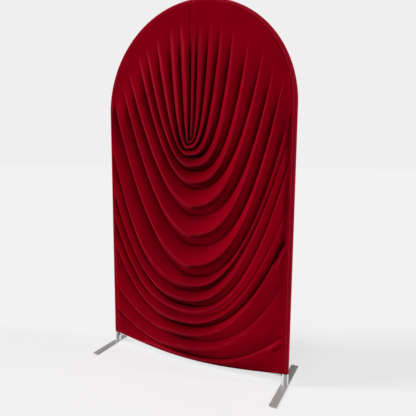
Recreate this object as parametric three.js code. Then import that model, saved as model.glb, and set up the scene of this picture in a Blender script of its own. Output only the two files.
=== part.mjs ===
// Arch backdrop cover on its stand: a stretch cloth cover with a swagged front, over an arch of round tube.
// Millimetres. +X is the right-hand side seen from the front, -Y is the front, +Z is up, the floor is z = 0.

import * as THREE from "three";
import { mergeVertices } from "three/addons/utils/BufferGeometryUtils.js";

// Driving dimensions of the cover
const COVER_WIDTH = 1200;
const COVER_HEIGHT = 2112;
const CLOTH = 1.5;
const SIDE_HEM = 72;
const MIDDLE_HEM = 28;
const HEM_BOW = 27;
const HEM_BOW_TOP = 420;

// Driving dimensions of the stand
const TUBE_RADIUS = 16;
const TUBE_WALL = 1.5;
const CROSSBAR_RADIUS = 11;
const CROSSBAR_AXIS = 58;
const SOCKET_RADIUS = 18.5;
const SOCKET_BORE = 16.5;
const SOCKET_TOP = 69;
const PLATE_WIDTH = 42;
const PLATE_LENGTH = 450;
const PLATE_THICKNESS = 5;
const PLATE_CORNER = 7;

// Clearances
const FIT_GAP = 0.5;
const JOINT_GAP = 0.3;
const SEAM_GAP = 0.9;

// Facets
const TUBE_SIDES = 16;
const ARC_STEPS = 20;
const COLUMNS = 22;
const COLUMN_CROWDING = 1.4;
const LINE_SAMPLES = 240;
const CORNER_STEPS = 4;
const SAME_POINT = 1e-3;

// Worked out from the driving dimensions
const ARCH_CENTRE = COVER_HEIGHT - COVER_WIDTH / 2;
const TUBE_AXIS = COVER_WIDTH / 2 - CLOTH - FIT_GAP - TUBE_RADIUS;
const BAND_INNER = TUBE_RADIUS + FIT_GAP;
const BAND_OUTER = BAND_INNER + CLOTH;
const PANEL_RADIUS = TUBE_AXIS - SEAM_GAP;
const QUARTER = (Math.PI / 2) * PANEL_RADIUS;
const EDGE_LENGTH = QUARTER + ARCH_CENTRE - SIDE_HEM;

// Where the rows of a roll's points lie, as shares of its width from its inner crease to its outer one
const NARROW_ROWS = [0, 0.3, 0.66];
const WIDE_ROWS = [0, 0.17, 0.36, 0.64, 0.83];

// Creases of the drape, from the upright one in the middle out to the hem. Each hangs as a U from the left
// edge through its lowest point (bottomX, bottomZ) to the right edge. A reach is the way along the panel's
// edge from the top of the arch to where the crease would meet it, and a power is how square the U is. A
// floor is how far the crease stands in front of the flat cloth, at its left end, bottom and right end.
const CREASES = table(
  "name bottomX bottomZ leftReach leftPower rightReach rightPower leftFloor bottomFloor rightFloor",
  [
    ["spine", -9, 1345, 0, 1.0, 0, 1.0, 0, 0, 0],
    ["slit", -12, 1343, 4, 0.6, 39, 0.27, 0, 0, 0],
    ["tongue", -20, 1322, 86, 0.45, 115, 0.33, 0, 0, 0],
    ["pleat_1", -10, 1291, 158, 0.31, 192, 0.38, 0, 0, 0],
    ["pleat_2", 5, 1250, 259, 0.38, 272, 0.33, 0, 2, 0],
    ["pleat_3", 15, 1170, 354, 0.435, 380, 0.34, 0, 4, 0],
    ["pleat_4", 25, 1067, 433, 0.48, 497, 0.38, 0, 5, 0],
    ["swag_1", 12, 912, 550, 0.55, 595, 0.355, 0, 6, 0],
    ["swag_2", 10, 735, 640, 0.535, 700, 0.355, 0, 8, 0],
    ["swag_3", -6, 550, 798, 0.525, 897, 0.39, 0, 8, 0],
    ["nip", -5, 456, 1073, 0.355, 1026, 0.45, 4, 10, 9],
    ["swag_4", -22, 363, 1365, 0.395, 1170, 0.39, 0, 6, 4],
    ["half_swag", -30, 312, 1530, 0.355, 1410, 0.4, 0, 28, 9],
    ["swag_5", -32, 236, 1710, 0.375, 1560, 0.405, 0, 6, 0],
    ["swag_6", -28, 155, 2010, 0.39, 1810, 0.38, 0, 6, 3],
    ["swag_7", 0, 65, 2170, 0.37, 2125, 0.37, 0, 4, 0],
    ["hem", 0, MIDDLE_HEM, EDGE_LENGTH, 0.45, EDGE_LENGTH, 0.45, 0, 0, 0],
  ],
);

// The roll of cloth between each crease and the next one out: how far it stands forward at its left end,
// bottom and right end, the plain cloth between its ends and the panel's edge, and where its rows of points
// lie across it.
const ROLLS = table("leftHeight bottomHeight rightHeight leftBand rightBand rows", [
  [0, 6, 7, 80, 80, NARROW_ROWS],
  [13, 14, 11, 75, 80, NARROW_ROWS],
  [15, 18, 12, 80, 80, NARROW_ROWS],
  [16, 22, 12, 80, 80, WIDE_ROWS],
  [17, 26, 12, 80, 85, WIDE_ROWS],
  [18, 30, 12, 80, 90, WIDE_ROWS],
  [20, 34, 13, 80, 85, WIDE_ROWS],
  [21, 36, 13, 70, 75, WIDE_ROWS],
  [21, 38, 13, 40, 50, WIDE_ROWS],
  [21, 34, 11, 10, 20, WIDE_ROWS],
  [19, 28, 9, 10, 10, WIDE_ROWS],
  [17, 26, 6, 10, 10, NARROW_ROWS],
  [18, 32, 10, 10, 10, NARROW_ROWS],
  [14, 24, 5, 10, 10, NARROW_ROWS],
  [9, 16, 3, 10, 10, NARROW_ROWS],
  [6, 10, 4, 10, 10, NARROW_ROWS],
]);

// A roll's height is at most this share of its own width on its arms and at its bottom, and its ends rise
// over these lengths: under the arch, and along the left and right sides.
const ARM_STEEPEST = 0.25;
const STEEPEST = 0.5;
const ARCH_RISE = 260;
const LEFT_RISE = 40;
const RIGHT_RISE = 110;
const WIDE_BAND = 35;

// How soon the ends' shape takes over from the bottom's along a roll, on the right and on the left.
const BOTTOM_FADE = 2.5;
const LEFT_HANG = 0.4;

// The steep side of a roll's arms is this many times as wide as it is high, and its bottom has its lip at this
// share of its width. Powers shape the sides from crease to crest. The arms of tight pleats are puffed, with
// their crest in the middle, and a wide bottom swings forward from the crease to its lip.
const ARM_RUN = 1.25;
const LIP_SHARE = 0.64;
const STEEP_SIDE = 1.6;
const GENTLE_SIDE = 4;
const BOTTOM_SIDE = 2.4;
const SWING = 1.7;
const LIP_DROP = 2.4;
const NARROW_ROLL = 35;
const WIDE_ROLL = 90;
const PUFFED_SIDE = 3.2;
const TIGHT_PLEAT = 40;
const LOOSE_PLEAT = 95;

const CLOTH_RED = new THREE.MeshStandardMaterial({ color: 0x78000f, roughness: 0.62, metalness: 0 });
const TUBE_METAL = new THREE.MeshStandardMaterial({ color: 0xb4b7b8, roughness: 0.4, metalness: 1 });
const FOOT_METAL = new THREE.MeshStandardMaterial({ color: 0x9c9a9a, roughness: 0.5, metalness: 1 });

// Rows of values as objects with the named columns.
function table(columns, rows) {
  const names = columns.split(" ");
  return rows.map((row) => Object.fromEntries(names.map((name, i) => [name, row[i]])));
}

function lerp(a, b, share) {
  return a + (b - a) * share;
}

// Every numeric column of two rows, mixed.
function between(a, b, share) {
  const mixed = {};
  for (const name of Object.keys(a)) {
    if (typeof a[name] === "number") mixed[name] = lerp(a[name], b[name], share);
  }
  return mixed;
}

// The point of the front panel's edge at a way along it from the top of the arch, on the right-hand side.
function edgePoint(reach) {
  const angle = Math.min(reach, QUARTER) / PANEL_RADIUS;
  const drop = Math.max(reach - QUARTER, 0);
  return [PANEL_RADIUS * Math.sin(angle), ARCH_CENTRE + PANEL_RADIUS * Math.cos(angle) - drop];
}

// Half of one U-shaped line, left (side = -1) or right (side = 1), with its length and a function that gives
// the point at a share of that length from the bottom to the edge.
function halfLine(line, side) {
  const reach = side < 0 ? line.leftReach : line.rightReach;
  const power = side < 0 ? line.leftPower : line.rightPower;
  const [edgeX, edgeZ] = edgePoint(reach);
  const points = [];
  const lengths = [];
  for (let i = 0; i <= LINE_SAMPLES; i++) {
    const step = i / LINE_SAMPLES;
    const rise = (step + step ** (1 / power)) / 2;
    const x = lerp(line.bottomX, side * edgeX, rise ** power);
    const z = lerp(line.bottomZ, edgeZ, rise);
    const last = points[i - 1];
    lengths.push(last ? lengths[i - 1] + Math.hypot(x - last[0], z - last[1]) : 0);
    points.push([x, z]);
  }
  const length = lengths[LINE_SAMPLES];
  const at = (share) => {
    const goal = share * length;
    let i = 1;
    while (i < LINE_SAMPLES && lengths[i] < goal) i++;
    const part = (goal - lengths[i - 1]) / (lengths[i] - lengths[i - 1]);
    return points[i].map((value, axis) => lerp(points[i - 1][axis], value, part));
  };
  return { length, at };
}

// How far the whole panel swings forward towards the free hem.
function hemBow(x, z) {
  const acrossShare = Math.cos((Math.min(Math.abs(x) / PANEL_RADIUS, 1) * Math.PI) / 2) ** 2;
  return HEM_BOW * acrossShare * (1 - THREE.MathUtils.smoothstep(z, MIDDLE_HEM, HEM_BOW_TOP));
}

// Height of a roll's side from its crease (0) to its crest (1).
function flank(share, power) {
  return 1 - (1 - share) ** power;
}

// How far a roll stands forward at a place: `share` of the way across it, `out` of the way along it from its
// bottom to its end, `width` wide there and `endDistance` short of the panel's edge.
function rollHeight(crease, next, roll, side, { share, out, width, endDistance }) {
  const { clamp, smoothstep } = THREE.MathUtils;
  const bottom = (1 - out) ** BOTTOM_FADE;
  const end = side < 0 ? "left" : "right";
  const mix = (row, name) => lerp(row[end + name], row["bottom" + name], bottom);
  const band = roll[end + "Band"];
  const sideRise = side < 0 ? LEFT_RISE : RIGHT_RISE;
  const fade = smoothstep(endDistance, band, band + (band > WIDE_BAND ? ARCH_RISE : sideRise));
  const innerFloor = mix(crease, "Floor") * fade;
  const outerFloor = mix(next, "Floor") * fade;
  const low = side < 0 ? 1 - smoothstep(out, 0, LEFT_HANG) : bottom;
  const steepest = lerp(ARM_STEEPEST, STEEPEST, low) * width;
  const height = Math.max(Math.min(mix(roll, "Height") * fade, steepest), innerFloor, outerFloor);
  const hanging = low * smoothstep(width, NARROW_ROLL, WIDE_ROLL);
  const puffed = (1 - smoothstep(width, TIGHT_PLEAT, LOOSE_PLEAT)) * (1 - low);
  const run = clamp((height * ARM_RUN) / Math.max(width, 1), 0.04, 0.45);
  const armCrest = side < 0 ? 1 - run : run;
  const crest = armCrest + (0.5 - armCrest) * puffed + (LIP_SHARE - armCrest) * low;
  const sidePower = (power) => power + (PUFFED_SIDE - power) * puffed + (BOTTOM_SIDE - power) * low;
  if (share < crest) {
    const rising = share / crest;
    const crown = lerp(flank(rising, sidePower(side < 0 ? GENTLE_SIDE : STEEP_SIDE)), rising ** SWING, hanging);
    return height * crown + innerFloor * (1 - rising) ** 2;
  }
  const falling = (1 - share) / (1 - crest);
  const crown = lerp(flank(falling, sidePower(side < 0 ? STEEP_SIDE : GENTLE_SIDE)), falling ** LIP_DROP, hanging);
  return height * crown + outerFloor * (1 - falling) ** 2;
}

// Half of one row of points of the drape's front face, from the bottom to the panel's edge.
function drapeHalfRow(crease, next, roll, share, side) {
  const line = halfLine(between(crease, next, share), side);
  const innerLine = halfLine(crease, side);
  const outerLine = halfLine(next, side);
  const points = [];
  for (let column = 0; column <= COLUMNS; column++) {
    const out = (column / COLUMNS) ** COLUMN_CROWDING;
    const [x, z] = line.at(out);
    const [innerX, innerZ] = innerLine.at(out);
    const [outerX, outerZ] = outerLine.at(out);
    const width = Math.hypot(outerX - innerX, outerZ - innerZ);
    const place = { share, out, width, endDistance: (1 - out) * line.length };
    const forward = rollHeight(crease, next, roll, side, place);
    points.push(new THREE.Vector3(x, -BAND_OUTER - forward - hemBow(x, z), z));
  }
  return points;
}

// One whole row, from the left edge through the bottom to the right edge.
function drapeRow(crease, next, roll, share) {
  const left = drapeHalfRow(crease, next, roll, share, -1).reverse();
  const right = drapeHalfRow(crease, next, roll, share, 1);
  return [...left, ...right.slice(1)];
}

// The front face of the drape as one surface. Its first row runs down and up the same upright crease, and is
// closed there by merging.
function drapeSurface() {
  const rows = [];
  ROLLS.forEach((roll, i) => {
    const shares = i + 1 < ROLLS.length ? roll.rows : [...roll.rows, 1];
    for (const share of shares) rows.push(drapeRow(CREASES[i], CREASES[i + 1], roll, share));
  });
  const across = 2 * COLUMNS + 1;
  const positions = rows.flat().flatMap((p) => [p.x, p.y, p.z]);
  const index = [];
  for (let r = 0; r + 1 < rows.length; r++) {
    for (let c = 0; c + 1 < across; c++) {
      const a = r * across + c;
      const b = a + across;
      index.push(a, b, b + 1, a, b + 1, a + 1);
    }
  }
  const surface = new THREE.BufferGeometry();
  surface.setAttribute("position", new THREE.Float32BufferAttribute(positions, 3));
  surface.setIndex(index);
  return mergeVertices(surface, SAME_POINT);
}

// A closed sheet: the surface, a copy of it a cloth's thickness behind, and a rim round its free edges.
function thicken(surface, thickness) {
  surface.computeVertexNormals();
  const front = surface.getAttribute("position");
  const normal = surface.getAttribute("normal");
  const count = front.count;
  const positions = [...front.array];
  for (let i = 0; i < count; i++) {
    positions.push(
      front.getX(i) - thickness * normal.getX(i),
      front.getY(i) - thickness * normal.getY(i),
      front.getZ(i) - thickness * normal.getZ(i),
    );
  }
  const faces = [...surface.index.array];
  const edges = new Set();
  const index = [...faces];
  for (let i = 0; i < faces.length; i += 3) {
    const [a, b, c] = faces.slice(i, i + 3);
    index.push(count + a, count + c, count + b);
    for (const [from, to] of [[a, b], [b, c], [c, a]]) edges.add(from + "," + to);
  }
  for (const edge of edges) {
    const [from, to] = edge.split(",").map(Number);
    if (edges.has(to + "," + from)) continue;
    index.push(from, count + from, count + to, from, count + to, to);
  }
  const sheet = new THREE.BufferGeometry();
  sheet.setAttribute("position", new THREE.Float32BufferAttribute(positions, 3));
  sheet.setIndex(index);
  return sheet;
}

// A section swept through stations. The section's first coordinate runs outward from the arch and its second
// to the back; a station holds a centre and its outward direction. A hole in the section becomes the bore of
// a pipe.
function sweep(outline, hole, stations) {
  const loops = hole.length ? [outline, hole] : [outline];
  const points = loops.flat();
  const positions = [];
  for (const { centre, outward } of stations) {
    for (const p of points) {
      positions.push(centre.x + outward.x * p.x, centre.y + p.y, centre.z + outward.z * p.x);
    }
  }
  const index = [];
  let first = 0;
  for (const loop of loops) {
    for (let s = 0; s + 1 < stations.length; s++) {
      for (let k = 0; k < loop.length; k++) {
        const a = s * points.length + first + k;
        const b = s * points.length + first + ((k + 1) % loop.length);
        index.push(a, b, b + points.length, a, b + points.length, a + points.length);
      }
    }
    first += loop.length;
  }
  const end = (stations.length - 1) * points.length;
  for (const [a, b, c] of THREE.ShapeUtils.triangulateShape(outline, hole.length ? [hole] : [])) {
    index.push(a, c, b, end + a, end + b, end + c);
  }
  const swept = new THREE.BufferGeometry();
  swept.setAttribute("position", new THREE.Float32BufferAttribute(positions, 3));
  swept.setIndex(index);
  return swept;
}

// Points of a circle or part of one, from one angle to another, both included.
function arcPoints(radius, from, to, steps) {
  const points = [];
  for (let i = 0; i <= steps; i++) {
    const angle = lerp(from, to, i / steps);
    points.push(new THREE.Vector2(radius * Math.cos(angle), radius * Math.sin(angle)));
  }
  return points;
}

// Stations along the right-hand half of the arch, from the springing line to the top or just short of it.
function archStations(shortOfTop) {
  const stations = [];
  const top = Math.PI / 2 - shortOfTop / TUBE_AXIS;
  for (let i = 0; i <= ARC_STEPS; i++) {
    const angle = Math.min((i / ARC_STEPS) * (Math.PI / 2), top);
    const outward = new THREE.Vector3(Math.cos(angle), 0, Math.sin(angle));
    const centre = new THREE.Vector3(0, 0, ARCH_CENTRE).addScaledVector(outward, TUBE_AXIS);
    stations.push({ centre, outward });
  }
  return stations;
}

// A station on the right-hand post's axis.
function uprightStation(z) {
  return { centre: new THREE.Vector3(TUBE_AXIS, 0, z), outward: new THREE.Vector3(1, 0, 0) };
}

// A full ring of section points.
function ringSection(radius) {
  return arcPoints(radius, 0, 2 * Math.PI * (1 - 1 / TUBE_SIDES), TUBE_SIDES - 1);
}

// A pipe of an outer and an inner radius through stations.
function pipe(radius, bore, stations) {
  return sweep(ringSection(radius), ringSection(bore).reverse(), stations);
}

// The right-hand half of the edge band: half a ring round the outside of the tube, from the hem to the seam
// at the top.
function edgeBand() {
  const half = Math.PI / 2;
  const outer = arcPoints(BAND_OUTER, -half, half, TUBE_SIDES / 2);
  const inner = arcPoints(BAND_INNER, half, -half, TUBE_SIDES / 2);
  return sweep([...outer, ...inner], [], [uprightStation(SIDE_HEM), ...archStations(JOINT_GAP / 2)]);
}

// The right-hand half of the arch: a bent pipe from the post to the joint at the top.
function archTube() {
  return pipe(TUBE_RADIUS, TUBE_RADIUS - TUBE_WALL, archStations(JOINT_GAP / 2));
}

// The right-hand post: a straight pipe from the foot plate to the arch.
function post() {
  const stations = [PLATE_THICKNESS + JOINT_GAP, ARCH_CENTRE - JOINT_GAP].map(uprightStation);
  return pipe(TUBE_RADIUS, TUBE_RADIUS - TUBE_WALL, stations);
}

// The right-hand socket: a short pipe that stands on the foot plate round the post.
function socket() {
  return pipe(SOCKET_RADIUS, SOCKET_BORE, [PLATE_THICKNESS + JOINT_GAP, SOCKET_TOP].map(uprightStation));
}

// The crossbar: a straight pipe between the two sockets, just above the floor.
function crossbar() {
  const halfLength = TUBE_AXIS - SOCKET_RADIUS - JOINT_GAP;
  const outward = new THREE.Vector3(0, 0, -1);
  const stations = [-halfLength, halfLength].map((x) => ({
    centre: new THREE.Vector3(x, 0, CROSSBAR_AXIS),
    outward,
  }));
  return pipe(CROSSBAR_RADIUS, CROSSBAR_RADIUS - TUBE_WALL, stations);
}

// A flat outline made a sheet or plate of a thickness, lying on z = 0.
function plate(outline, thickness, curveSegments) {
  return new THREE.ExtrudeGeometry(outline, { depth: thickness, bevelEnabled: false, curveSegments });
}

// A foot plate: a long flat bar with rounded corners, lying front to back.
function footPlate() {
  const x = PLATE_WIDTH / 2 - PLATE_CORNER;
  const y = PLATE_LENGTH / 2 - PLATE_CORNER;
  const bar = new THREE.Shape();
  [[x, y], [-x, y], [-x, -y], [x, -y]].forEach(([cornerX, cornerY], quarter) => {
    const from = (quarter * Math.PI) / 2;
    bar.absarc(cornerX, cornerY, PLATE_CORNER, from, from + Math.PI / 2);
  });
  return plate(bar, PLATE_THICKNESS, CORNER_STEPS).translate(TUBE_AXIS, 0, 0);
}

// The plain back panel: a flat sheet with the arch's outline and a straight hem.
function backPanel() {
  const outline = new THREE.Shape();
  outline.moveTo(-PANEL_RADIUS, SIDE_HEM);
  outline.lineTo(PANEL_RADIUS, SIDE_HEM);
  outline.absarc(0, ARCH_CENTRE, PANEL_RADIUS, 0, Math.PI);
  return plate(outline, CLOTH, 2 * ARC_STEPS).rotateX(Math.PI / 2).translate(0, BAND_OUTER, 0);
}

// One named piece. A left-hand piece is the right-hand one mirrored.
function piece(name, geometry, material, side) {
  const mesh = new THREE.Mesh(geometry, material);
  mesh.name = name;
  mesh.scale.x = side;
  return mesh;
}

const cover = new THREE.Group();
cover.add(piece("front_drape", thicken(drapeSurface(), CLOTH), CLOTH_RED, 1));
cover.add(piece("back_panel", backPanel(), CLOTH_RED, 1));

const stand = new THREE.Group();
stand.add(piece("crossbar", crossbar(), TUBE_METAL, 1));

for (const [end, side] of [["left", -1], ["right", 1]]) {
  cover.add(piece("edge_band_" + end, edgeBand(), CLOTH_RED, side));
  stand.add(piece("arch_tube_" + end, archTube(), TUBE_METAL, side));
  stand.add(piece("post_" + end, post(), TUBE_METAL, side));
  stand.add(piece("socket_" + end, socket(), FOOT_METAL, side));
  stand.add(piece("foot_plate_" + end, footPlate(), FOOT_METAL, side));
}

const backdrop = new THREE.Group();
backdrop.add(cover, stand);

export default backdrop;
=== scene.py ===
"""Arch backdrop cover on its stand: the draped stretch cloth with its seams and hems, and the feet and tubes.

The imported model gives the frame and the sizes. Lengths here are metres, apart from the drape's own tables
and functions, which are in millimetres of the front panel's plane: x to the right, z up, depth towards the
viewer.
"""

import math
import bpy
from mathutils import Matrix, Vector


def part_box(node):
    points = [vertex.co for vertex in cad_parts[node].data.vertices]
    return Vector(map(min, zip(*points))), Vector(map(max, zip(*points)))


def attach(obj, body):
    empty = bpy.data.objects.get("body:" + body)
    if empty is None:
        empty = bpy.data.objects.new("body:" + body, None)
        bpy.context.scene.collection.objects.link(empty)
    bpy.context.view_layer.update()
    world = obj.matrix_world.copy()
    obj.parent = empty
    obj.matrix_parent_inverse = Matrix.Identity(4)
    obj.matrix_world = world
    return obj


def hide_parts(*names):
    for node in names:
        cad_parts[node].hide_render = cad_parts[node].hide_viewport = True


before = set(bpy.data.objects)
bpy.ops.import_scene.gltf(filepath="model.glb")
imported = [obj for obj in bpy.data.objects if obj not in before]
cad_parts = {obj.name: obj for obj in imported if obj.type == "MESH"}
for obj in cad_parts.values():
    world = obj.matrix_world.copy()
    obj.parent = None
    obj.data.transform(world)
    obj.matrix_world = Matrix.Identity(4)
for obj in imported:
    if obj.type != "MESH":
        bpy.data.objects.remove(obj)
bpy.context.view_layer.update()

from types import SimpleNamespace

import bmesh
import bpy
import numpy as np
from mathutils import Matrix, Vector

bl_info = {
    "name": "Arch Backdrop Cover",
    "version": (1, 0, 0),
    "blender": (4, 5, 0),
    "location": "View3D > Sidebar > Backdrop",
    "description": "Dresses an arch stand with its draped cover, hems and feet, and lights it",
    "category": "Object",
}

MM = 0.001
BODY = "root"

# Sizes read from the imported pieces, in metres
BAND_LOW, BAND_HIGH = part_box("edge_band_right")
TUBE_LOW, TUBE_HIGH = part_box("post_right")
PANEL_LOW, PANEL_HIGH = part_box("front_drape")
COVER_HALF_WIDTH = BAND_HIGH.x
COVER_TOP = BAND_HIGH.z
SIDE_HEM = BAND_LOW.z
ARCH_CENTRE = COVER_TOP - COVER_HALF_WIDTH
TUBE_AXIS = (TUBE_LOW.x + TUBE_HIGH.x) / 2
BAND_RADIUS = BAND_HIGH.y
PANEL_RADIUS = PANEL_HIGH.x

# The same sizes for the drape, in millimetres, with ways along the panel's edge from the top of the arch
EDGE = PANEL_RADIUS / MM
SPRING = ARCH_CENTRE / MM
QUARTER = math.pi / 2 * EDGE
EDGE_LENGTH = QUARTER + SPRING - SIDE_HEM / MM
MIDDLE_HEM = PANEL_LOW.z / MM
FLAT_DEPTH = BAND_RADIUS / MM

# How far the middle of the free hem bows forward, and the height at which the bow begins
HEM_BOW = 27.0
HEM_BOW_TOP = 420.0


def table(columns, rows):
    """Rows of values as dictionaries with the named columns."""
    return [dict(zip(columns.split(), row)) for row in rows]


# Creases of the drape, from the upright one in the middle out to the hem. Each hangs as a U from the left
# edge through its lowest point to the right edge: a reach is the way along the panel's edge from the top of
# the arch, a power is how square the U is, and a floor is how far the crease stands in front of the flat
# cloth.
CREASES = table(
    "name bottom_x bottom_z left_reach left_power right_reach right_power "
    "left_floor bottom_floor right_floor",
    [
        ("spine", -9, 1345, 0, 1.0, 0, 1.0, 0, 0, 0),
        ("slit", -12, 1343, 4, 0.6, 39, 0.27, 0, 0, 0),
        ("tongue", -20, 1322, 86, 0.45, 115, 0.33, 0, 0, 0),
        ("pleat_1", -10, 1291, 158, 0.31, 192, 0.38, 0, 0, 0),
        ("pleat_2", 5, 1250, 259, 0.38, 272, 0.33, 0, 2, 0),
        ("pleat_3", 15, 1170, 354, 0.435, 380, 0.34, 0, 4, 0),
        ("pleat_4", 25, 1067, 433, 0.48, 497, 0.38, 0, 5, 0),
        ("swag_1", 12, 912, 550, 0.55, 595, 0.355, 0, 6, 0),
        ("swag_2", 10, 735, 640, 0.535, 700, 0.355, 0, 8, 0),
        ("swag_3", -6, 550, 798, 0.525, 897, 0.39, 0, 8, 0),
        ("nip", -5, 456, 1073, 0.355, 1026, 0.45, 4, 10, 9),
        ("swag_4", -22, 363, 1365, 0.395, 1170, 0.39, 0, 6, 4),
        ("half_swag", -30, 312, 1530, 0.355, 1410, 0.4, 0, 28, 9),
        ("swag_5", -32, 236, 1710, 0.375, 1560, 0.405, 0, 6, 0),
        ("swag_6", -28, 155, 2010, 0.39, 1810, 0.38, 0, 6, 3),
        ("swag_7", 0, 65, 2170, 0.37, 2125, 0.37, 0, 4, 0),
        ("hem", 0, MIDDLE_HEM, EDGE_LENGTH, 0.45, EDGE_LENGTH, 0.45, 0, 0, 0),
    ],
)

# The roll of cloth between each crease and the next one out: how far it stands forward at its left end,
# bottom and right end, how far its bottom hangs over the crease below, the plain cloth between its ends and
# the panel's edge, and its rows of faces.
ROLLS = table(
    "left bottom right overhang left_band right_band rows",
    [
        (0, 6, 7, 0, 80, 80, 6),
        (13, 14, 11, 2, 75, 80, 8),
        (15, 18, 12, 3, 80, 80, 10),
        (16, 22, 12, 3, 80, 80, 10),
        (17, 26, 12, 4, 80, 85, 12),
        (18, 30, 12, 5, 80, 90, 14),
        (20, 34, 13, 6, 80, 85, 17),
        (21, 36, 13, 6, 70, 75, 20),
        (21, 38, 13, 6, 40, 50, 22),
        (21, 34, 11, 5, 10, 20, 16),
        (19, 28, 9, 5, 10, 10, 14),
        (17, 26, 6, 4, 10, 10, 12),
        (18, 32, 10, 5, 10, 10, 16),
        (14, 24, 5, 4, 10, 10, 14),
        (9, 16, 3, 2, 10, 10, 12),
        (6, 10, 4, 0, 10, 10, 12),
    ],
)

# A roll's height is at most this share of its own width, on its arms and at its bottom
ARM_STEEPEST = 0.25
STEEPEST = 0.5

# A roll's ends rise over these lengths: under the arch, where they keep a wide band of plain cloth, and along
# the left and right sides
WIDE_BAND = 35.0
ARCH_RISE = 260.0
LEFT_RISE = 40.0
RIGHT_RISE = 110.0

# How soon the arms' shape takes over from the bottom's along a roll: the power of the fade, and the share of
# a left half over which a hanging bottom ends
BOTTOM_FADE = 2.5
LEFT_HANG = 0.4

# The steep side of an arm is this many times as wide as it is high, between two shares of the roll's width. A
# puffed arm has its crest in the middle, and a bottom has its lip at this share of its width.
ARM_RUN = 1.25
LEAST_RUN = 0.04
MOST_RUN = 0.45
PUFFED_CREST = 0.5
LIP_SHARE = 0.64

# Powers that shape a roll's sides from crease to crest: narrow arms are puffed out, and a wide bottom swings
# forward from the crease to its lip
STEEP_SIDE = 1.6
GENTLE_SIDE = 4.0
BOTTOM_SIDE = 2.4
PUFFED_SIDE = 3.2
SWING = 1.7
LIP_DROP = 2.4

# Widths between which a bottom starts to hang, and between which an arm stops being a tight pleat
NARROW_ROLL = 35.0
WIDE_ROLL = 90.0
TIGHT_PLEAT = 40.0
LOOSE_PLEAT = 95.0

# Painted shade of a crease reaches this far from it and rises to full by this slope, and a loose pleat loses
# this share of it. The hollow beside a crease has a softer painted shade. The bottom of a roll gets painted
# shade that is full up to one width and gone at another.
CREASE_SHADE_REACH = 6.5
CREASE_SHADE_CORE = 1.7
LOOSE_LOSS = 0.75
HOLLOW_SHADE = 0.34
SMALL_SHADE = 0.4
SMALL_ROLL = 60.0
FULL_ROLL = 140.0

# One crease gets a deeper painted shade on its right arm: how far that shade reaches, and the shares of the
# way to the edge between which it sets in
DEEP_CREASE = "swag_5"
DEEP_SHADE_REACH = 12.0
DEEP_START = 0.35
DEEP_FULL = 0.75

# Painted highlight on a ridge reaches this far from its crest, is full at this way from a pleat's start, and
# is stronger on the left arms than on the right ones, as the key light comes from the left
HIGHLIGHT_REACH = 7.0
PLEAT_START = 110.0
LEFT_HIGHLIGHT = 1.5
RIGHT_HIGHLIGHT = 0.5

# Small creases, each from a start to an end point: width across, depth (below 0 for a ridge), and the share
# of its length over which it fades in and out. One of full depth adds this much painted shade, and a ridge of
# full height this much painted highlight.
DARTS = table(
    "start_x start_z end_x end_z width depth fade",
    [
        (-8, 2093, -9, 1975, 5, 2.2, 0.25),
        (576, 834, 500, 658, 9, 6.0, 0.3),
        (578, 806, 512, 640, 9, -4.0, 0.35),
        (-578, 236, -500, 172, 8, 2.0, 0.4),
        (-578, 216, -508, 156, 8, -3.0, 0.4),
        (588, 238, 500, 186, 7, 3.0, 0.3),
        (584, 256, 470, 182, 9, -4.0, 0.35),
        (585, 288, 520, 250, 6, 2.5, 0.4),
    ],
)
FULL_DART = 5.0
DART_SHADE = 0.8
DART_HIGHLIGHT = 0.6

# Faces of the drape from its middle to each edge, closer together at the bottoms, the points that the length
# of a crease is measured on, and how near two points of a sheet are merged
COLUMNS = 112
COLUMN_CROWDING = 1.3
LINE_SAMPLES = 400
SAME_POINT = 0.02 * MM

# The allowance that a band turns in behind a panel: how far in it starts and ends, and how deep it lies
SEAM_START = 0.6 * MM
SEAM_END = 3 * MM
SEAM_DEPTH = 1.1 * MM

# Hem stitches stand proud of the cloth, in front by millimetres of the drape, and keep clear of the panels'
# edges, in front by a number of faces. A stitch has a ring of thread at each share of its length, of a height
# in thread radii.
FRONT_PROUD = 0.15
BACK_PROUD = 0.1 * MM
FRONT_CLEAR = 4
BACK_CLEAR = 8 * MM
STITCH_RINGS = ((0.0, 0.2), (0.3, 1.0), (0.7, 1.0), (1.0, 0.2))

# Ripples of the back panel: the height above the hem up to which they slant, the strip along its edge where
# they fade out, their slant, their turns in radians a metre with the size and turns of their waver, and their
# heights in millimetres. The groove is the one that the hem's stitches pull.
SLANTING_TOP = 0.55
RIPPLE_FADE = 0.12
SLANT = 0.55
SLANTING_TURNS = 34
SLANTING_WAVER = (2.0, 3.1)
UPRIGHT_TURNS = 17
UPRIGHT_WAVER = (1.3, 2.3)
SLANTING_HEIGHT = 0.9
UPRIGHT_HEIGHT = 0.5
GROOVE_WIDTH = 1.6 * MM
GROOVE_DEPTH = 0.4 * MM

# The feet: segments of their round corners and edges, what counts as an edge, and the socket's chamfer and
# the weld's outline as shares of its wall and of the weld's width
CORNER_SEGMENTS = 6
EDGE_SEGMENTS = 3
EDGE_ANGLE = math.radians(60)
SOCKET_STEPS = 56
CHAMFER_SHARE = 0.3
WELD_HEIGHT = 1.3
WELD_HOLLOW = (0.35, 0.6)

# The studio: which way its lights shine, its colours, and half the side of its floor in metres
KEY_WAY = (2.2, 1.15, -0.95)
TOP_WAY = (0.0, 0.35, -1.0)
RIM_WAY = (-1.0, -0.3, -0.2)
FLOOR_COLOUR = (0.24, 0.238, 0.236)
FLOOR_LIGHT = (1.0, 0.995, 0.995)
AIR_COLOUR = (0.87, 0.866, 0.866)
FLOOR_REACH = 60

# The camera stands in front of the cover's right edge, at the photograph's angle
CAMERA_PLACE = Vector((1.1032, -1.9944, 1.2336))
CAMERA_YAW = 0.46687
CAMERA_PITCH = 0.12374
CAMERA_ROLL = 0.00754
CAMERA_SENSOR = 36


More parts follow.
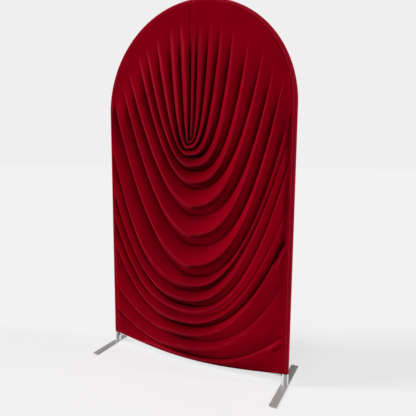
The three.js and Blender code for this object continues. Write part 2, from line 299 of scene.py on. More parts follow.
class BackdropCloth(bpy.types.PropertyGroup):
    """Sizes and colours of the cover."""

    colour: bpy.props.FloatVectorProperty(
        name="Cloth Colour", description="The dye of the stretch cloth", subtype="COLOR", size=3,
        default=(0.3, 0.0, 0.0085), min=0.0, max=1.0,
    )
    # Painted shade: the dark colour that crease shade on the drape, and the cloth's random mottle, blend
    # towards
    mottle_and_crease_shade_colour: bpy.props.FloatVectorProperty(
        name="Crease Colour", description="The dye in the depth of a crease", subtype="COLOR", size=3,
        default=(0.02, 0.0, 0.0005), min=0.0, max=1.0,
    )
    # Painted highlight: the pale colour that the drape's ridges and the edge bands blend towards, also the
    # thread's paler tone
    painted_highlight_and_pale_dye_colour: bpy.props.FloatVectorProperty(
        name="Ridge Colour", description="The dye where the cloth is stretched over a ridge", subtype="COLOR",
        size=3, default=(0.46, 0.012, 0.03), min=0.0, max=1.0,
    )
    sheen: bpy.props.FloatProperty(
        name="Sheen", description="How much the cloth brightens where it turns away", default=0.25,
        min=0.0, max=1.0, subtype="FACTOR",
    )
    thickness: bpy.props.FloatProperty(
        name="Thickness", description="Thickness of the cloth", default=0.9 * MM, min=0.0, unit="LENGTH",
    )
    hem_depth: bpy.props.FloatProperty(
        name="Hem Depth", description="How far the hem is turned up", default=24 * MM, min=0.0,
        unit="LENGTH",
    )
    rib: bpy.props.FloatProperty(
        name="Knit Rib", description="Width of one rib of the knit", default=1.5 * MM, min=0.0,
        unit="LENGTH",
    )


class BackdropStand(bpy.types.PropertyGroup):
    """Sizes and colours of the stand."""

    tube_colour: bpy.props.FloatVectorProperty(
        name="Tube Colour", description="The bare tube", subtype="COLOR", size=3,
        default=(0.62, 0.63, 0.63), min=0.0, max=1.0,
    )
    foot_colour: bpy.props.FloatVectorProperty(
        name="Foot Colour", description="The powder-grey feet", subtype="COLOR", size=3,
        default=(0.5, 0.492, 0.492), min=0.0, max=1.0,
    )
    plate_corner: bpy.props.FloatProperty(
        name="Plate Corner", description="Radius of a foot plate's corners", default=7 * MM, min=0.0,
        unit="LENGTH",
    )
    edge_bevel: bpy.props.FloatProperty(
        name="Edge Bevel", description="Rounding of the plates' edges", default=0.9 * MM, min=0.0,
        unit="LENGTH",
    )
    wall: bpy.props.FloatProperty(
        name="Socket Wall", description="Thickness of a socket's wall", default=2 * MM, min=0.0,
        unit="LENGTH",
    )
    weld: bpy.props.FloatProperty(
        name="Weld", description="Width of the weld round a socket's foot", default=2.6 * MM, min=0.0,
        unit="LENGTH",
    )


class BackdropStudio(bpy.types.PropertyGroup):
    """Lights and camera."""

    key_strength: bpy.props.FloatProperty(
        name="Key Light", description="Strength of the large light above the left", default=3.4, min=0.0,
    )
    key_angle: bpy.props.FloatProperty(
        name="Key Softness", description="How wide the key light looks from the cloth",
        default=math.radians(14), min=0.0, max=math.pi, subtype="ANGLE", unit="ROTATION",
    )
    top_strength: bpy.props.FloatProperty(
        name="Top Light", description="Strength of the light from above", default=0.8, min=0.0,
    )
    rim_strength: bpy.props.FloatProperty(
        name="Rim Light", description="Strength of the light from behind on the right", default=2.4, min=0.0,
    )
    ambient: bpy.props.FloatProperty(
        name="Ambient", description="Strength of the light from all sides", default=0.2, min=0.0,
    )
    floor_glow: bpy.props.FloatProperty(
        name="Floor Glow", description="How much light the floor has of its own", default=0.66, min=0.0,
    )
    lens: bpy.props.FloatProperty(
        name="Lens", description="Focal length of the camera", default=33.67, min=1.0, unit="CAMERA",
    )


class Value:
    """An output of a node that can be used in sums."""

    def __init__(self, shader, socket):
        self.shader = shader
        self.socket = socket

    def _math(self, operation, first, second=0.0):
        return self.shader.node("ShaderNodeMath", {"operation": operation}, {0: first, 1: second})

    def __add__(self, other):
        return self._math("ADD", self, other)

    def __radd__(self, other):
        return self._math("ADD", other, self)

    def __sub__(self, other):
        return self._math("SUBTRACT", self, other)

    def __rsub__(self, other):
        return self._math("SUBTRACT", other, self)

    def __mul__(self, other):
        return self._math("MULTIPLY", self, other)

    def __rmul__(self, other):
        return self._math("MULTIPLY", other, self)

    def sine(self):
        return self._math("SINE", self)

    def absolute(self):
        return self._math("ABSOLUTE", self)


class Nodes:
    """A node tree, with one method that adds any node to it."""

    def __init__(self, tree):
        self.tree = tree

    def connect(self, target, value):
        if isinstance(value, Value):
            self.tree.links.new(value.socket, target)
        else:
            target.default_value = value

    def node(self, kind, settings=None, inputs=None, output=0):
        """A node of a kind, with its settings made first and then its inputs; returns one of its outputs."""
        made = self.tree.nodes.new(kind)
        for name, setting in (settings or {}).items():
            setattr(made, name, setting)
        for name, value in (inputs or {}).items():
            self.connect(made.inputs[name], value)
        return Value(self, made.outputs[output])


class Shader(Nodes):
    """A new material and its surface."""

    def __init__(self, name):
        self.material = bpy.data.materials.new(name)
        self.material.use_nodes = True
        super().__init__(self.material.node_tree)
        self.surface = self.tree.nodes["Principled BSDF"]

    def coordinates(self, kind):
        return self.node("ShaderNodeTexCoord", output=kind)

    def noise(self, coordinates, scale, detail):
        return self.node(
            "ShaderNodeTexNoise", inputs={"Vector": coordinates, "Scale": scale, "Detail": detail}
        )

    def attribute(self, name):
        return self.node("ShaderNodeAttribute", {"attribute_name": name}, output="Fac")

    def blend(self, share, first, second):
        """A mix of two colours, through the Mix node's own sockets for colours."""
        return self.node(
            "ShaderNodeMix", {"data_type": "RGBA", "clamp_factor": True}, {0: share, 6: first, 7: second}, 2
        )

    def separate(self, vector):
        """The three numbers of a vector."""
        first = self.node("ShaderNodeSeparateXYZ", inputs={0: vector})
        return [Value(self, output) for output in first.socket.node.outputs]

    def bump(self, height, strength, distance):
        bumped = self.node(
            "ShaderNodeBump", inputs={"Height": height, "Strength": strength, "Distance": distance}
        )
        self.connect(self.surface.inputs["Normal"], bumped)

    def set(self, **values):
        """Sockets of the surface by name, with underscores for spaces."""
        for name, value in values.items():
            self.connect(self.surface.inputs[name.replace("_", " ")], value)


def opaque(colour):
    """A colour with full alpha."""
    return (*colour, 1.0)


def cloth_material(cloth, name, draped=False, painted_highlight_and_pale_tone=0.0):
    """Dyed stretch knit: fine ribs along the cloth's own map, and uneven dye. Draped cloth reads painted
    shade for its creases and painted highlight for its ridges from its attributes, and the last argument is
    how far the dye of
    other cloth pales: a painted highlight on the edge bands, a paler tone for the thread."""
    shader = Shader(name)
    place = shader.coordinates("Object")
    along, across, _ = shader.separate(shader.coordinates("UV"))
    mottle = shader.noise(place, scale=5.0, detail=4.0)
    grain = shader.noise(place, scale=420.0, detail=2.0)
    dark = mottle * 0.35 + grain * 0.3 - 0.2
    # Painted shade: the crease attribute darkens the drape in its creases and hollows
    if draped:
        dark = dark + shader.attribute("crease")
    dye = shader.blend(dark, opaque(cloth.colour), opaque(cloth.mottle_and_crease_shade_colour))
    # Painted highlight: the ridge attribute, or a fixed share on the edge bands, pales the dye; the thread is
    # paled as its own tone
    pale = shader.attribute("ridge_highlight") * 0.5 if draped else painted_highlight_and_pale_tone
    dye = shader.blend(pale, dye, opaque(cloth.painted_highlight_and_pale_dye_colour))
    turns = 2 * math.pi / cloth.rib
    rib = (across * (turns / 2)).sine().absolute()
    loop = (along * turns + rib * 1.5).sine()
    knit = rib * (loop * 0.25 + 0.75) + grain * 0.5
    shader.bump(knit, strength=0.25, distance=0.25 * MM)
    shader.set(
        Base_Color=dye,
        Roughness=0.6 + grain * 0.12,
        Specular_IOR_Level=0.0,
        Sheen_Weight=cloth.sheen,
        Sheen_Roughness=0.35,
        Sheen_Tint=(1.0, 0.16, 0.22, 1.0),
    )
    return shader.material


def metal_material(name, colour, metallic, roughness, drawn):
    """Satin metal or powder coat with faint wear. Drawn scales its grain along x, y and z, so that a small
    number draws the grain out along that axis."""
    shader = Shader(name)
    place = shader.coordinates("Object")
    drawn_place = shader.node("ShaderNodeMapping", inputs={"Vector": place, "Scale": drawn})
    streak = shader.noise(drawn_place, scale=60.0, detail=3.0)
    speck = shader.noise(place, scale=900.0, detail=2.0)
    worn = tuple(0.72 * channel for channel in colour)
    shader.bump(speck * 0.6 + streak * 0.4, strength=0.2, distance=0.1 * MM)
    shader.set(
        Base_Color=shader.blend(streak * 0.5 + speck * 0.3, opaque(colour), opaque(worn)),
        Metallic=metallic,
        Roughness=roughness + streak * 0.14 - 0.07,
    )
    return shader.material


def finish(obj, name, replaced=()):
    """Names a piece, lets it ride on the stand, and hides the imported parts that it replaces."""
    obj.name = name
    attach(obj, BODY)
    if replaced:
        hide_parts(*replaced)


def new_object(name, bm, material):
    """An object of a bmesh, smooth all over."""
    mesh = bpy.data.meshes.new(name)
    for face in bm.faces:
        face.smooth = True
    bm.to_mesh(mesh)
    bm.free()
    mesh.materials.append(material)
    obj = bpy.data.objects.new(name, mesh)
    bpy.context.scene.collection.objects.link(obj)
    return obj


def smoothstep(value, low, high):
    """A share that rises smoothly from 0 at low to 1 at high."""
    share = np.clip((value - low) / (high - low), 0, 1)
    return share * share * (3 - 2 * share)


def sheet_grid(across, along, place, attributes=()):
    """A grid of faces moved onto a surface. place takes the vertices' shares (0 to 1) across and along, and
    returns their positions in metres, their map coordinates in metres and one array for each attribute."""
    bm = bmesh.new()
    bmesh.ops.create_grid(bm, x_segments=across, y_segments=along, size=0.5)
    shares = np.array([vert.co[:2] for vert in bm.verts]) + 0.5
    positions, cloth_map, *values = place(shares[:, 0], shares[:, 1])
    layers = [bm.verts.layers.float.new(name) for name in attributes]
    for i, vert in enumerate(bm.verts):
        vert.co = positions[i]
        for layer, value in zip(layers, values):
            vert[layer] = value[i]
    uv_layer = bm.loops.layers.uv.new("cloth")
    for face in bm.faces:
        for loop in face.loops:
            loop[uv_layer].uv = cloth_map[loop.vert.index]
    return bm


def solid_sheet(obj, thickness):
    """Gives a sheet its thickness, behind its face."""
    solidify = obj.modifiers.new("Thickness", "SOLIDIFY")
    solidify.thickness = thickness
    solidify.offset = -1
    solidify.use_even_offset = False


def edge_point(reach):
    """The point of the front panel's edge at a way along it from the top of the arch, on the right."""
    angle = min(reach, QUARTER) / EDGE
    drop = max(reach - QUARTER, 0)
    return EDGE * math.sin(angle), SPRING + EDGE * math.cos(angle) - drop


def between(first, second, share):
    """Every number of two rows, mixed."""
    return {k: first[k] + (second[k] - first[k]) * share for k in first if not isinstance(first[k], str)}


def half_line(line, end, outs):
    """Points of half a U-shaped line at shares of its length from its bottom, and its length."""
    edge_x, edge_z = edge_point(line[end + "_reach"])
    side = -1 if end == "left" else 1
    power = line[end + "_power"]
    step = np.linspace(0, 1, LINE_SAMPLES + 1)
    rise = (step + step ** (1 / power)) / 2
    x = line["bottom_x"] + (side * edge_x - line["bottom_x"]) * rise**power
    z = line["bottom_z"] + (edge_z - line["bottom_z"]) * rise
    way = np.concatenate([[0], np.cumsum(np.hypot(np.diff(x), np.diff(z)))])
    wanted = outs * way[-1]
    return np.interp(wanted, way, x), np.interp(wanted, way, z), way[-1]


def hem_bow(x, z):
    """How far the whole panel swings forward towards the free hem."""
    across = np.cos(np.clip(np.abs(x) / EDGE, 0, 1) * math.pi / 2) ** 2
    return HEM_BOW * across * (1 - smoothstep(z, MIDDLE_HEM, HEM_BOW_TOP))


def flank(share, power):
    """Height of a roll's side from its crease (0) to its crest (1)."""
    return 1 - (1 - share) ** power


def roll_form(crease, following, roll, end, width, to_edge, outs):
    """What half a roll is like along its length: how much of a bottom it is, how far its ends have risen, the
    floors of its two creases, its height, where its crest is across it, and the powers of its two sides."""
    left = end == "left"
    bottom = (1 - outs) ** BOTTOM_FADE
    low = 1 - smoothstep(outs, 0, LEFT_HANG) if left else bottom
    puffed = (1 - smoothstep(width, TIGHT_PLEAT, LOOSE_PLEAT)) * (1 - low)
    band = roll[end + "_band"]
    side_rise = LEFT_RISE if left else RIGHT_RISE
    rise = ARCH_RISE if band > WIDE_BAND else side_rise
    fade = smoothstep(to_edge, band, band + rise)
    start = smoothstep(to_edge, band, band + min(rise, PLEAT_START))

    def along(row, name, bottom_name):
        return row[end + name] + (row[bottom_name] - row[end + name]) * bottom

    def of_kinds(arm, puffed_arm, hanging):
        return arm + (puffed_arm - arm) * puffed + (hanging - arm) * low

    inner_floor = along(crease, "_floor", "bottom_floor") * fade
    outer_floor = along(following, "_floor", "bottom_floor") * fade
    steepest = ARM_STEEPEST + (STEEPEST - ARM_STEEPEST) * low
    height = np.maximum(np.minimum(along(roll, "", "bottom") * fade, steepest * width), inner_floor)
    height = np.maximum(height, outer_floor)
    run = np.clip(height * ARM_RUN / np.maximum(width, 1), LEAST_RUN, MOST_RUN)
    return SimpleNamespace(
        bottom=bottom,
        low=low,
        fade=fade,
        start=start,
        inner_floor=inner_floor,
        outer_floor=outer_floor,
        height=height,
        crest=of_kinds(1 - run if left else run, PUFFED_CREST, LIP_SHARE),
        inner_power=of_kinds(GENTLE_SIDE if left else STEEP_SIDE, PUFFED_SIDE, BOTTOM_SIDE),
        outer_power=of_kinds(STEEP_SIDE if left else GENTLE_SIDE, PUFFED_SIDE, BOTTOM_SIDE),
    )


def crease_painted_shade(form, share, end, width, hollow):
    """Painted shade at a roll's two creases and in the hollows beside them."""
    near = np.clip(CREASE_SHADE_CORE * (1 - np.minimum(share, 1 - share) * width / CREASE_SHADE_REACH), 0, 1)
    tight = 1 - LOOSE_LOSS * smoothstep(width, TIGHT_PLEAT, LOOSE_PLEAT)
    shaded = hollow * np.where((share < form.crest) == (end == "left"), 1, form.low)
    floor = np.where(share < 0.5, form.inner_floor, form.outer_floor)
    cut = 1 - np.clip(floor / np.maximum(form.height, 1), 0, 1)
    return (near * tight + HOLLOW_SHADE * shaded * (1 + form.low) * form.fade) * form.fade * cut


def deep_crease_painted_shade(form, away, width, outs):
    """Painted shade of the one crease made to look deep, at a share of a roll's width away from it."""
    near = np.clip(CREASE_SHADE_CORE * (1 - away * width / DEEP_SHADE_REACH), 0, 1)
    return near * smoothstep(outs, DEEP_START, DEEP_FULL) * form.fade * form.fade


def half_row(crease, following, roll, share, end, outs):
    """Half of one row of the drape: x, z, depth in front of the flat cloth, painted crease shade and painted
    ridge highlight.
    """
    x, z, length = half_line(between(crease, following, share), end, outs)
    inner_x, inner_z, _ = half_line(crease, end, outs)
    outer_x, outer_z, _ = half_line(following, end, outs)
    across_x, across_z = outer_x - inner_x, outer_z - inner_z
    width = np.hypot(across_x, across_z)
    form = roll_form(crease, following, roll, end, width, (1 - outs) * length, outs)
    hanging = form.low * smoothstep(width, NARROW_ROLL, WIDE_ROLL)
    rising = np.clip(share / form.crest, 0, 1)
    falling = np.clip((1 - share) / (1 - form.crest), 0, 1)
    inner = flank(rising, form.inner_power)
    inner = inner + (rising**SWING - inner) * hanging
    outer = flank(falling, form.outer_power)
    outer = outer + (falling**LIP_DROP - outer) * hanging
    inside = share < form.crest
    crown = np.where(inside, inner, outer)
    hollow = np.where(inside, (1 - rising) ** 2, (1 - falling) ** 2)
    left_over = np.where(inside, form.inner_floor, form.outer_floor) * hollow
    lean = roll["overhang"] * crown**2 * form.fade * form.bottom / np.maximum(width, 1)
    # Painted shade for the creases, their hollows and small bottoms, carried in the crease attribute
    dark = crease_painted_shade(form, share, end, width, hollow)
    if end == "right" and DEEP_CREASE in (crease["name"], following["name"]):
        away = share if crease["name"] == DEEP_CREASE else 1 - share
        dark = np.maximum(dark, deep_crease_painted_shade(form, away, width, outs))
    dark = dark + SMALL_SHADE * form.low * (1 - smoothstep(width, SMALL_ROLL, FULL_ROLL)) * form.fade
    # Painted highlight along each crest, stronger on the left arms, carried in the ridge attribute
    arm_highlight = LEFT_HIGHLIGHT if end == "left" else RIGHT_HIGHLIGHT
    strength = arm_highlight + (1 - arm_highlight) * form.low
    ridge_highlight = np.exp(-(((share - form.crest) * width / HIGHLIGHT_REACH) ** 2)) * form.start * strength
    return x + across_x * lean, z + across_z * lean, form.height * crown + left_over, dark, ridge_highlight


def press_darts(x, z):
    """Depth taken away by the listed small creases."""
    pressed = np.zeros_like(x)
    for dart in DARTS:
        start = np.array([dart["start_x"], dart["start_z"]])
        run = np.array([dart["end_x"], dart["end_z"]]) - start
        length = np.hypot(*run)
        along = ((x - start[0]) * run[0] + (z - start[1]) * run[1]) / length**2
        aside = ((x - start[0]) * run[1] - (z - start[1]) * run[0]) / length
        faded = smoothstep(along, 0, dart["fade"]) * (1 - smoothstep(along, 1 - dart["fade"], 1))
        pressed += dart["depth"] * faded * np.exp(-((aside / dart["width"]) ** 2))
    return pressed


def drape_rows():
    """The drape's rows from the upright crease to the hem: x, z, depth in front of the flat cloth, painted
    crease shade and painted ridge highlight, each as a grid of numbers."""
    outs = (np.arange(COLUMNS + 1) / COLUMNS) ** COLUMN_CROWDING
    rows = []
    for i, roll in enumerate(ROLLS):
        count = roll["rows"]
        last = i == len(ROLLS) - 1
        for k in range(count + last):
            share = (1 - math.cos(math.pi * k / count)) / 2
            left = half_row(CREASES[i], CREASES[i + 1], roll, share, "left", outs)
            right = half_row(CREASES[i], CREASES[i + 1], roll, share, "right", outs)
            rows.append([np.concatenate([a[:0:-1], b]) for a, b in zip(left, right)])
    return np.array(rows).transpose(1, 0, 2)


def drape_surface():
    """The drape's rows with the bowed hem and the pressed creases: x, z, depth, painted crease shade and
    painted ridge highlight.
    """
    x, z, forward, crease, ridge_highlight = drape_rows()
    pressed = press_darts(x, z)
    # The small creases add painted shade along their grooves and painted highlight along their ridges
    crease = crease + DART_SHADE * np.clip(pressed / FULL_DART, 0, 1)
    ridge_highlight = ridge_highlight + DART_HIGHLIGHT * np.clip(-pressed / FULL_DART, 0, 1)
    return x, z, FLAT_DEPTH + forward + hem_bow(x, z) - pressed, crease, ridge_highlight


def cloth_way(grids, axis):
    """The way over the cloth along one axis of a grid of points."""
    steps = np.sqrt(sum(np.diff(grid, axis=axis) ** 2 for grid in grids))
    way = np.cumsum(steps, axis=axis)
    return np.pad(way, ((0, 0), (1, 0)) if axis == 1 else ((1, 0), (0, 0)))


def front_drape_mesh():
    """The front panel's face as a grid that follows its folds."""
    x, z, depth, crease, ridge_highlight = drape_surface()
    along = cloth_way((x, z, depth), 1)
    along = along - along[:, COLUMNS : COLUMNS + 1]
    across = cloth_way((x, z, depth), 0)
    row_count, column_count = x.shape

    def place(share_across, share_along):
        column = np.rint(share_across * (column_count - 1)).astype(int)
        row = np.rint((1 - share_along) * (row_count - 1)).astype(int)
        pick = (row, column)
        positions = np.stack([x[pick], -depth[pick], z[pick]], axis=1) * MM
        return positions, np.stack([along[pick], across[pick]], axis=1) * MM, crease[pick], ridge_highlight[pick]

    # The crease attribute carries painted shade and the ridge attribute painted highlight
    bm = sheet_grid(column_count - 1, row_count - 1, place, ["crease", "ridge_highlight"])
    bmesh.ops.remove_doubles(bm, verts=bm.verts, dist=SAME_POINT)
    return bm


class BACKDROP_OT_front_drape(bpy.types.Operator):
    """Make the swagged front panel"""

    bl_idname = "backdrop.front_drape"
    bl_label = "Front Drape"

    def execute(self, context):
        cloth = context.scene.backdrop_cloth
        material = cloth_material(cloth, "crimson_stretch_knit_draped", draped=True)
        drape = new_object("draped_front_panel", front_drape_mesh(), material)
        solid_sheet(drape, cloth.thickness)
        finish(drape, "draped_front_panel", ["front_drape"])
        return {"FINISHED"}


def stitch(bm, start, end, out, thickness):
    """One stitch: a short rounded bar of thread from start to end, standing out of the cloth."""
    run = (end - start).normalized()
    side = run.cross(out).normalized() * thickness
    rings = []
    for share, height in STITCH_RINGS:
        centre = start.lerp(end, share)
        lift = out * thickness * height
        rings.append([bm.verts.new(centre + step) for step in (side, lift, -side, -lift)])
    for low, high in zip(rings, rings[1:]):
        for i in range(len(low)):
            after = (i + 1) % len(low)
            bm.faces.new((low[i], low[after], high[after], high[i]))
    bm.faces.new(rings[0][::-1])
    bm.faces.new(rings[-1])


def stitch_row(bm, points, out, pitch, gap, thickness):
    """Stitches along a line of points, one at each pitch and with a gap before the next."""
    points = np.array(points)
    way = np.concatenate([[0], np.cumsum(np.linalg.norm(np.diff(points, axis=0), axis=1))])
    for start in np.arange(pitch / 2, way[-1] - pitch, pitch):
        first, last = (
            Vector([np.interp(place, way, points[:, axis]) for axis in range(3)])
            for place in (start, start + pitch - gap)
        )
        stitch(bm, first, last, Vector(out), thickness)


class BACKDROP_OT_stitching(bpy.types.Operator):
    """Sew the hems along the cover's bottom"""

    bl_idname = "backdrop.stitching"
    bl_label = "Hem Stitching"

    pitch: bpy.props.FloatProperty(
        name="Stitch Pitch", description="From the start of a stitch to the start of the next",
        default=4.5 * MM, min=1 * MM, unit="LENGTH",
    )
    gap: bpy.props.FloatProperty(
        name="Stitch Gap", description="Bare cloth between two stitches", default=1.2 * MM, min=0.0,
        unit="LENGTH",
    )
    thread: bpy.props.FloatProperty(
        name="Thread Radius", description="Half the thickness of the thread", default=0.45 * MM, min=0.0,
        unit="LENGTH",
    )

    def execute(self, context):
        cloth = context.scene.backdrop_cloth
        x, z, depth, _, _ = drape_surface()
        depth = depth + FRONT_PROUD
        up = cloth_way((x[::-1], z[::-1]), 0)
        hem = cloth.hem_depth / MM
        line = []
        for column in range(FRONT_CLEAR, x.shape[1] - FRONT_CLEAR):
            found = [np.interp(hem, up[:, column], values[::-1, column]) for values in (x, -depth, z)]
            line.append([value * MM for value in found])
        bm = bmesh.new()
        stitch_row(bm, line, (0, -1, 0), self.pitch, self.gap, self.thread)
        reach = PANEL_RADIUS - BACK_CLEAR
        back = [(side * reach, BAND_RADIUS + BACK_PROUD, SIDE_HEM + cloth.hem_depth) for side in (-1, 1)]
        stitch_row(bm, back, (0, 1, 0), self.pitch, self.gap, self.thread)
        bmesh.ops.recalc_face_normals(bm, faces=bm.faces)
        material = cloth_material(cloth, "crimson_thread", painted_highlight_and_pale_tone=0.3)
        finish(new_object("hem_stitches", bm, material), "hem_stitches")
        return {"FINISHED"}


def band_stations(count):
    """Stations along the right half of the arch from the hem to the top: the tube's centre line, its outward
    direction and the way along it."""
    straight = ARCH_CENTRE - SIDE_HEM
    way = np.linspace(0, straight + math.pi / 2 * TUBE_AXIS, count + 1)
    angle = np.clip((way - straight) / TUBE_AXIS, 0, math.pi / 2)
    centre_z = np.where(way < straight, SIDE_HEM + way, ARCH_CENTRE + TUBE_AXIS * np.sin(angle))
    return TUBE_AXIS * np.cos(angle), centre_z, np.cos(angle), np.sin(angle), way


def band_profile(faces):
    """The band's section from front to back, as ways outward from the tube's axis and depths: a half round,
    with a seam allowance turned in behind each panel."""
    around = np.linspace(-math.pi / 2, math.pi / 2, faces - 3)
    outward = [-SEAM_END, -SEAM_START, *(BAND_RADIUS * np.cos(around)), -SEAM_START, -SEAM_END]
    under = BAND_RADIUS - SEAM_DEPTH
    return np.array([outward, [-under, -under, *(BAND_RADIUS * np.sin(around)), under, under]])


class BACKDROP_OT_edge_bands(bpy.types.Operator):
    """Make the two halves of the band round the tube"""

    bl_idname = "backdrop.edge_bands"
    bl_label = "Edge Bands"

    around: bpy.props.IntProperty(
        name="Faces Around", description="Faces of the band from front to back", default=24, min=6,
    )
    stations: bpy.props.IntProperty(
        name="Stations", description="Faces of half the band from its hem to the top", default=220, min=20,
    )

    def execute(self, context):
        cloth = context.scene.backdrop_cloth
        # The bands' dye is paled as a painted highlight along the cover's rim
        material = cloth_material(cloth, "crimson_stretch_knit_band", painted_highlight_and_pale_tone=0.45)
        centre_x, centre_z, out_x, out_z, way = band_stations(self.stations)
        for end, side in (("left", -1), ("right", 1)):

            def place(share_around, share_way):
                k = np.rint(share_way * self.stations).astype(int)
                ring = np.rint(share_around * self.around).astype(int)
                outward, depth = band_profile(self.around)[:, ring]
                x = side * (centre_x[k] + out_x[k] * outward)
                z = centre_z[k] + out_z[k] * outward
                across = (share_around - 0.5) * math.pi * BAND_RADIUS
                return np.stack([x, depth, z], axis=1), np.stack([way[k], across], axis=1)

            bm = sheet_grid(self.around, self.stations, place)
            if side > 0:
                bmesh.ops.reverse_faces(bm, faces=bm.faces)
            band = new_object("edge_band_cloth_" + end, bm, material)
            solid_sheet(band, cloth.thickness)
            finish(band, "edge_band_cloth_" + end, ["edge_band_" + end])
        return {"FINISHED"}


def drag_lines(x, z, half, hem_depth):
    """Soft ripples of the back panel, slanting up from the lower corners and upright above, and the groove
    that the hem's stitches pull."""
    low = 1 - smoothstep(z, SIDE_HEM, SIDE_HEM + SLANTING_TOP)
    inset = smoothstep(half - np.abs(x), 0.0, RIPPLE_FADE)
    waver, turns = SLANTING_WAVER
    slanting = np.sin((z - SLANT * np.abs(x)) * SLANTING_TURNS + waver * np.sin(x * turns))
    waver, turns = UPRIGHT_WAVER
    upright = np.sin(x * UPRIGHT_TURNS + waver * np.sin(z * turns))
    ripples = (SLANTING_HEIGHT * slanting * low + UPRIGHT_HEIGHT * upright * (1 - low)) * inset * MM
    groove = np.exp(-(((z - SIDE_HEM - hem_depth) / GROOVE_WIDTH) ** 2))
    return ripples - GROOVE_DEPTH * groove


class BACKDROP_OT_back_panel(bpy.types.Operator):
    """Make the plain back panel"""

    bl_idname = "backdrop.back_panel"
    bl_label = "Back Panel"

    across: bpy.props.IntProperty(
        name="Faces Across", description="Faces of the panel from side to side", default=120, min=8,
    )
    up: bpy.props.IntProperty(
        name="Faces Up", description="Faces of the panel from its hem to the top", default=200, min=8,
    )

    def execute(self, context):
        cloth = context.scene.backdrop_cloth
        material = cloth_material(cloth, "crimson_stretch_knit_back")
        straight = ARCH_CENTRE - SIDE_HEM
        edge_way = straight + math.pi / 2 * PANEL_RADIUS

        def place(share_across, share_up):
            way = share_up * edge_way
            angle = np.clip((way - straight) / PANEL_RADIUS, 0, math.pi / 2)
            z = np.where(way < straight, SIDE_HEM + way, ARCH_CENTRE + PANEL_RADIUS * np.sin(angle))
            half = PANEL_RADIUS * np.cos(angle)
            x = (2 * share_across - 1) * half
            depth = BAND_RADIUS + drag_lines(x, z, half, cloth.hem_depth)
            return np.stack([x, depth, z], axis=1), np.stack([z, x], axis=1)

        bm = sheet_grid(self.across, self.up, place)
        bmesh.ops.remove_doubles(bm, verts=bm.verts, dist=SAME_POINT)
        bmesh.ops.recalc_face_normals(bm, faces=bm.faces)
        panel = new_object("plain_back_panel", bm, material)
        solid_sheet(panel, cloth.thickness)
        finish(panel, "plain_back_panel", ["back_panel"])
        return {"FINISHED"}


class BACKDROP_OT_tubes(bpy.types.Operator):
    """Give the arch tubes, posts and crossbar their finish"""

    bl_idname = "backdrop.tubes"
    bl_label = "Tubes"

    def execute(self, context):
        stand = context.scene.backdrop_stand
        material = metal_material(
            "satin_tube", stand.tube_colour, metallic=1.0, roughness=0.34, drawn=(1.0, 1.0, 0.06)
        )
        for name in ("arch_tube_left", "arch_tube_right", "post_left", "post_right", "crossbar"):
            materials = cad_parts[name].data.materials
            materials.clear()
            materials.append(material)
        return {"FINISHED"}


def add_plate(bm, low, high, corner, rounding):
    """A flat bar with round corners and eased edges, in an empty bmesh."""
    bmesh.ops.create_cube(bm, size=1.0)
    for vert in bm.verts:
        vert.co = Vector([low[i] + (vert.co[i] + 0.5) * (high[i] - low[i]) for i in range(3)])
    upright = [edge for edge in bm.edges if abs(edge.verts[0].co.z - edge.verts[1].co.z) > rounding]
    bmesh.ops.bevel(
        bm, geom=upright, offset=corner, offset_type="OFFSET", segments=CORNER_SEGMENTS, profile=0.5,
        affect="EDGES", material=-1,
    )
    sharp = [edge for edge in bm.edges if edge.calc_face_angle(0) > EDGE_ANGLE]
    bmesh.ops.bevel(
        bm, geom=sharp, offset=rounding, offset_type="OFFSET", segments=EDGE_SEGMENTS, profile=0.5,
        affect="EDGES", material=-1,
    )


def add_socket(bm, low, high, wall, weld):
    """An upright round socket with a chamfered mouth and a weld round its foot."""
    radius = (high.x - low.x) / 2
    centre = (low + high) / 2
    bore = radius - wall
    chamfer = wall * CHAMFER_SHARE
    hollow_out, hollow_up = (weld * share for share in WELD_HOLLOW)
    outline = [
        (bore, low.z),
        (bore, high.z - chamfer),
        (bore + chamfer, high.z),
        (radius - chamfer, high.z),
        (radius, high.z - chamfer),
        (radius, low.z + weld * WELD_HEIGHT),
        (radius + hollow_out, low.z + hollow_up),
        (radius + weld, low.z),
    ]
    verts = [bm.verts.new((centre.x + reach, centre.y, z)) for reach, z in outline]
    edges = [bm.edges.new((verts[i - 1], verts[i])) for i in range(len(verts))]
    bmesh.ops.spin(
        bm, geom=verts + edges, cent=(centre.x, centre.y, 0), axis=(0, 0, 1), angle=2 * math.pi,
        steps=SOCKET_STEPS, use_merge=True,
    )
    bmesh.ops.recalc_face_normals(bm, faces=bm.faces)


class BACKDROP_OT_feet(bpy.types.Operator):
    """Make the sockets and foot plates"""

    bl_idname = "backdrop.feet"
    bl_label = "Feet"

    def execute(self, context):
        stand = context.scene.backdrop_stand
        material = metal_material(
            "grey_powder_coat", stand.foot_colour, metallic=0.35, roughness=0.48, drawn=(1.0, 1.0, 1.0)
        )
        for end in ("left", "right"):
            bm = bmesh.new()
            add_plate(bm, *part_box("foot_plate_" + end), stand.plate_corner, stand.edge_bevel)
            add_socket(bm, *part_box("socket_" + end), stand.wall, stand.weld)
            foot = new_object("foot_" + end, bm, material)
            finish(foot, "foot_" + end, ["foot_plate_" + end, "socket_" + end])
        return {"FINISHED"}


def camera_matrix():
    """The camera's place and turn, from its yaw, its pitch down and its roll."""
    forward = Vector(
        (
            -math.sin(CAMERA_YAW) * math.cos(CAMERA_PITCH),
            math.cos(CAMERA_YAW) * math.cos(CAMERA_PITCH),
            -math.sin(CAMERA_PITCH),
        )
    )
    level = Vector((math.cos(CAMERA_YAW), math.sin(CAMERA_YAW), 0))
    above = level.cross(forward)
    right = level * math.cos(CAMERA_ROLL) + above * math.sin(CAMERA_ROLL)
    up = above * math.cos(CAMERA_ROLL) - level * math.sin(CAMERA_ROLL)
    matrix = Matrix((right, up, -forward)).transposed().to_4x4()
    matrix.translation = CAMERA_PLACE
    return matrix


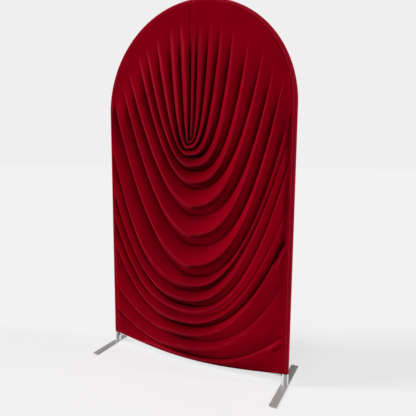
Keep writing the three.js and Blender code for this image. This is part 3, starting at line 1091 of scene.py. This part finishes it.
def sun_light(name, towards, strength, angle):
    """A distant light that shines along a direction."""
    data = bpy.data.lights.new(name, "SUN")
    data.energy = strength
    data.angle = angle
    light = bpy.data.objects.new(name, data)
    light.rotation_euler = Vector(towards).to_track_quat("-Z", "Y").to_euler()
    bpy.context.scene.collection.objects.link(light)


def pale_floor(studio):
    """A wide pale floor. Its glow doesn't light the cloth from below."""
    shader = Shader("pale_floor")
    shader.set(
        Base_Color=opaque(FLOOR_COLOUR),
        Roughness=0.8,
        Specular_IOR_Level=0.0,
        Emission_Color=opaque(FLOOR_LIGHT),
        Emission_Strength=studio.floor_glow,
    )
    bm = bmesh.new()
    bmesh.ops.create_grid(bm, x_segments=2, y_segments=2, size=FLOOR_REACH)
    floor = new_object("studio_floor", bm, shader.material)
    floor.visible_diffuse = False


def studio_air(studio):
    """A world that looks pale grey and lights the cover evenly from all sides."""
    world = bpy.data.worlds.new("studio_air")
    world.use_nodes = True
    air = Nodes(world.node_tree)
    seen = air.node("ShaderNodeBackground", inputs={"Color": opaque(AIR_COLOUR)})
    lighting = air.node(
        "ShaderNodeBackground", inputs={"Color": (1.0, 1.0, 1.0, 1.0), "Strength": studio.ambient}
    )
    for_camera = air.node("ShaderNodeLightPath", output="Is Camera Ray")
    mixed = air.node("ShaderNodeMixShader", inputs={0: for_camera, 1: lighting, 2: seen})
    air.connect(world.node_tree.nodes["World Output"].inputs[0], mixed)
    world.node_tree.nodes.remove(world.node_tree.nodes["Background"])
    return world


def studio_camera(studio):
    """The camera at the photograph's angle."""
    data = bpy.data.cameras.new("studio_camera")
    data.sensor_width = CAMERA_SENSOR
    data.lens = studio.lens
    camera = bpy.data.objects.new("studio_camera", data)
    camera.matrix_world = camera_matrix()
    bpy.context.scene.collection.objects.link(camera)
    return camera


class BACKDROP_OT_stage(bpy.types.Operator):
    """Lay the pale floor, light the studio and place the camera"""

    bl_idname = "backdrop.stage"
    bl_label = "Stage"

    def execute(self, context):
        studio = context.scene.backdrop_studio
        pale_floor(studio)
        sun_light("key_light", KEY_WAY, studio.key_strength, studio.key_angle)
        sun_light("top_light", TOP_WAY, studio.top_strength, studio.key_angle)
        sun_light("rim_light", RIM_WAY, studio.rim_strength, studio.key_angle)
        context.scene.world = studio_air(studio)
        context.scene.camera = studio_camera(studio)
        context.scene.view_settings.view_transform = "Standard"
        return {"FINISHED"}


class BACKDROP_PT_panel(bpy.types.Panel):
    """The backdrop's pieces and their sizes"""

    bl_label = "Arch Backdrop"
    bl_idname = "BACKDROP_PT_panel"
    bl_space_type = "VIEW_3D"
    bl_region_type = "UI"
    bl_category = "Backdrop"

    def draw(self, context):
        for group in SETTINGS:
            settings = getattr(context.scene, group)
            box = self.layout.box()
            for name in settings.bl_rna.properties.keys():
                if name not in ("rna_type", "name"):
                    box.prop(settings, name)
        for operator in PIECES:
            self.layout.operator(operator.bl_idname)


PIECES = (
    BACKDROP_OT_front_drape,
    BACKDROP_OT_edge_bands,
    BACKDROP_OT_back_panel,
    BACKDROP_OT_stitching,
    BACKDROP_OT_tubes,
    BACKDROP_OT_feet,
    BACKDROP_OT_stage,
)
SETTINGS = {
    "backdrop_cloth": BackdropCloth,
    "backdrop_stand": BackdropStand,
    "backdrop_studio": BackdropStudio,
}
CLASSES = (*SETTINGS.values(), *PIECES, BACKDROP_PT_panel)


def register():
    for cls in CLASSES:
        bpy.utils.register_class(cls)
    for name, cls in SETTINGS.items():
        setattr(bpy.types.Scene, name, bpy.props.PointerProperty(type=cls))


def unregister():
    for name in SETTINGS:
        delattr(bpy.types.Scene, name)
    for cls in reversed(CLASSES):
        bpy.utils.unregister_class(cls)


def main():
    """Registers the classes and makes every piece."""
    register()
    for operator in PIECES:
        group, name = operator.bl_idname.split(".")
        getattr(getattr(bpy.ops, group), name)()


if __name__ == "__main__":
    main()
